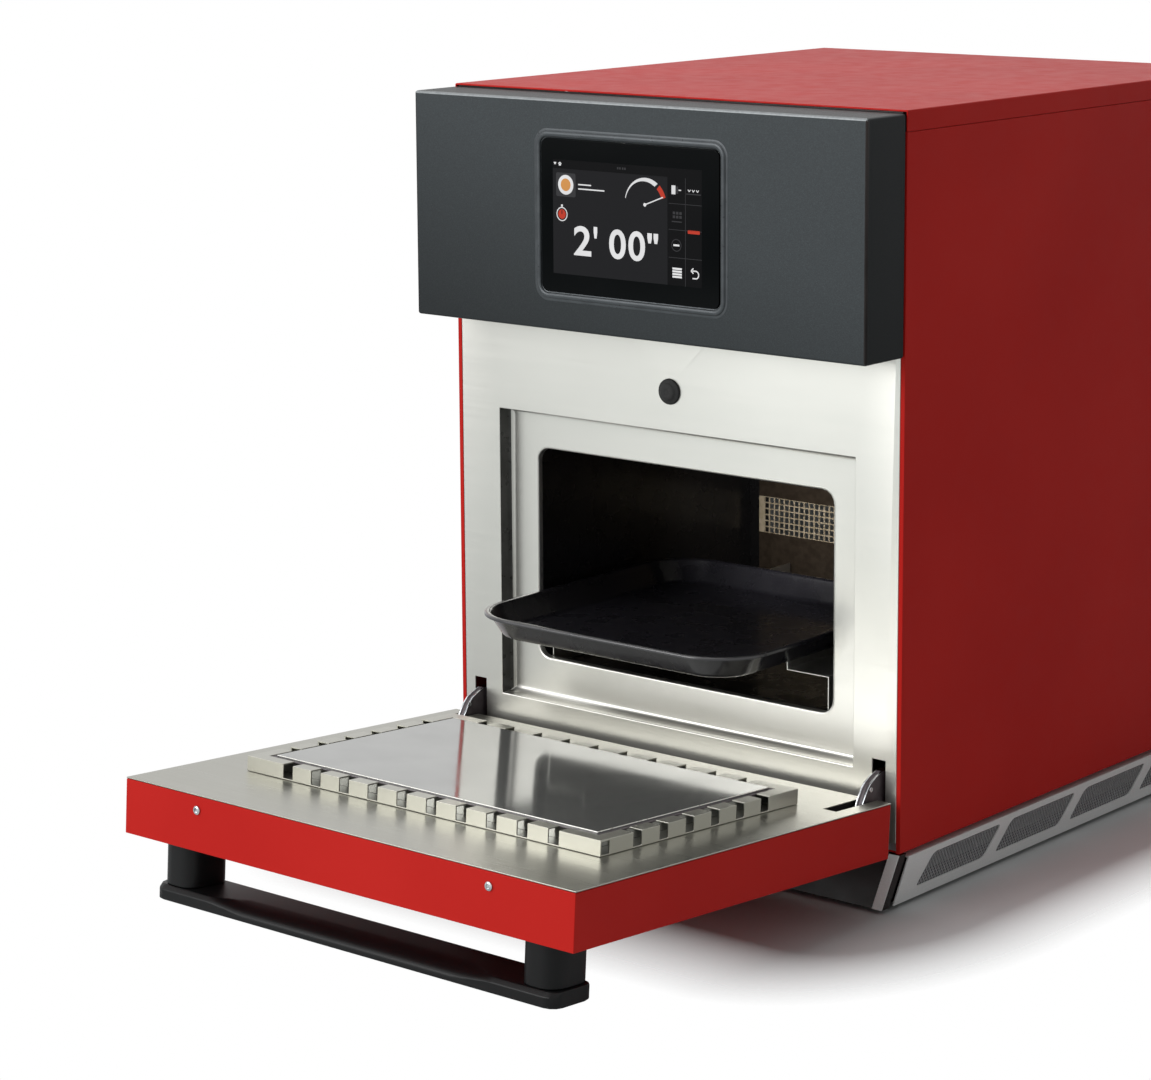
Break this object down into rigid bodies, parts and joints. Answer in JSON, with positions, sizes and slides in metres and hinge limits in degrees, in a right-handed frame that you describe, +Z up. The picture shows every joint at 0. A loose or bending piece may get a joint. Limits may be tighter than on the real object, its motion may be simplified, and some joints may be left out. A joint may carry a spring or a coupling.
{
  "type": "speed oven",
  "caption": "Countertop speed oven with a drop-down door, a touch screen in a hooded front, a sealed microwave cooking chamber with a hot-air fan, and a pull-out tray.",
  "frame": {"origin": "on the bench, under the middle of the whole oven's box, with its door open", "axes": "+X to the right seen from the front, +Y from the door to the back, +Z up"},
  "size_m": [0.45, 0.9338, 0.6203],
  "materials": {
    "red_paint": "satin red enamel",
    "anthracite_paint": "satin dark grey powder coat",
    "brushed_steel": "brushed stainless steel",
    "mirror_steel": "mirror-polished stainless steel",
    "chrome": "bright zinc-plated steel",
    "galvanised_steel": "galvanised sheet steel",
    "grey_paint": "satin grey paint",
    "black_enamel": "black enamel",
    "black_plastic": "fine matt black",
    "black_glass": "dark printed cover glass",
    "rubber": "matt black rubber",
    "glass_wool": "mineral wool",
    "ceramic": "off-white ceramic",
    "circuit_board": "green circuit board",
    "aluminium": "plain aluminium"
  },
  "bodies": {
    "cabinet": {"side_panel_left": "red_paint", "side_panel_right": "red_paint", "top_cover": "red_paint", "bezel": "anthracite_paint", "hood": "anthracite_paint", "front_frame": "brushed_steel", "rack_support_left": "brushed_steel", "rack_support_right": "brushed_steel", "temperature_probe": "brushed_steel", "heating_element": "brushed_steel", "exhaust_duct": "brushed_steel", "hinge_arm_left": "chrome", "hinge_arm_right": "chrome", "plinth_mesh_left": "galvanised_steel", "plinth_mesh_right": "galvanised_steel", "base_tray": "galvanised_steel", "back_panel": "galvanised_steel", "hot_air_housing": "galvanised_steel", "stirrer_motor": "galvanised_steel", "component_shelf": "galvanised_steel", "display_module": "galvanised_steel", "plinth_side_left": "grey_paint", "plinth_side_right": "grey_paint", "chamber": "black_enamel", "fan_guard": "black_enamel", "fan_motor": "black_enamel", "plinth_frame": "black_plastic", "front_plinth": "black_plastic", "cooling_fan_frame": "black_plastic", "power_inlet": "black_plastic", "touch_glass": "black_glass", "foot_front_left": "rubber", "foot_front_right": "rubber", "foot_rear_left": "rubber", "foot_rear_right": "rubber", "door_buffer": "rubber", "insulation": "glass_wool", "stirrer_cover": "ceramic", "control_board": "circuit_board", "waveguide": "aluminium", "magnetron_left": "aluminium", "magnetron_right": "aluminium", "inverter": "aluminium"},
    "door": {"door_skin": "red_paint", "door_inner_panel": "brushed_steel", "door_insulation": "glass_wool", "choke_frame": "brushed_steel", "choke_plate": "mirror_steel", "hinge_channel_left": "galvanised_steel", "hinge_channel_right": "galvanised_steel", "hinge_pin_left": "chrome", "hinge_pin_right": "chrome", "handle_post_left": "black_plastic", "handle_post_right": "black_plastic", "handle_bar": "black_plastic"},
    "tray": {"cooking_tray": "black_enamel"},
    "hot_air_fan": {"convection_fan": "galvanised_steel"},
    "cooling_rotor": {"cooling_fan_rotor": "black_plastic"},
    "stirrer": {"mode_stirrer": "aluminium"}
  },
  "joints": [
    {"name": "door_hinge", "type": "hinge", "parent": "cabinet", "child": "door", "pos_m": [0, -0.10354, 0.0695], "axis": [-1, 0, 0], "range_deg": [0, 86.08]},
    {"name": "tray_slide", "type": "slide", "parent": "cabinet", "child": "tray", "axis": [0, 1, 0], "range_m": [0, 0.1125]},
    {"name": "hot_air_fan_spin", "type": "hinge", "parent": "cabinet", "child": "hot_air_fan", "pos_m": [0, 0.27049, 0.2322], "axis": [0, 1, 0], "continuous": true},
    {"name": "cooling_fan_spin", "type": "hinge", "parent": "cabinet", "child": "cooling_rotor", "pos_m": [0.11, 0.42539, 0.497], "axis": [0, 1, 0], "continuous": true},
    {"name": "stirrer_spin", "type": "hinge", "parent": "cabinet", "child": "stirrer", "pos_m": [0, 0.09339, 0.343], "axis": [0, 0, 1], "continuous": true}
  ],
  "couplings": [
    {"joint": "tray_slide", "follows": "door_hinge", "m_per_rad": 0.07487}
  ]
}
